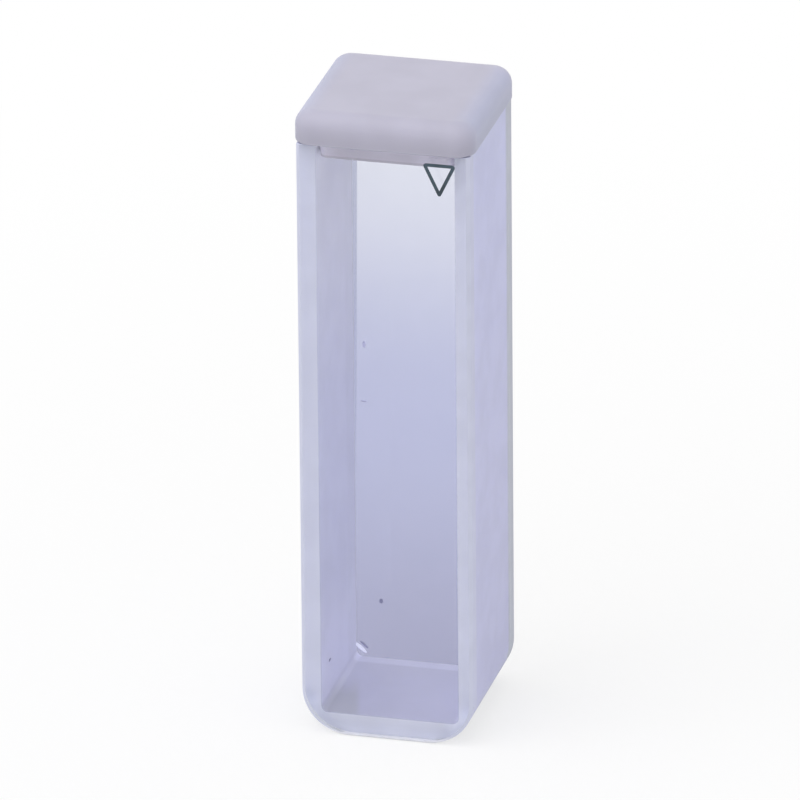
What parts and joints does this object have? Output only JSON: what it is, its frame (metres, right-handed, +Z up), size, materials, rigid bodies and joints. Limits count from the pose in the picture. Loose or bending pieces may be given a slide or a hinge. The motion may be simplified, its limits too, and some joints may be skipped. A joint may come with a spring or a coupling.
{
  "type": "cuvette",
  "caption": "Square lab cell for light measurement: frosted quartz side walls and floor, clear polished windows front and back, and a push-in lid.",
  "frame": {"origin": "centre of the cell's underside, on the surface it stands on", "axes": "+Z up along the cell, +Y along the light path from the front window to the rear one, +X across the windows"},
  "size_m": [0.013, 0.013, 0.0474],
  "materials": {
    "frosted_quartz": "fine-ground, milky",
    "clear_quartz": "polished",
    "ptfe": "satin, waxy"
  },
  "bodies": {
    "root": {"u_frame": "frosted_quartz", "front_window": "clear_quartz", "rear_window": "clear_quartz", "lid": "ptfe"}
  },
  "joints": []
}
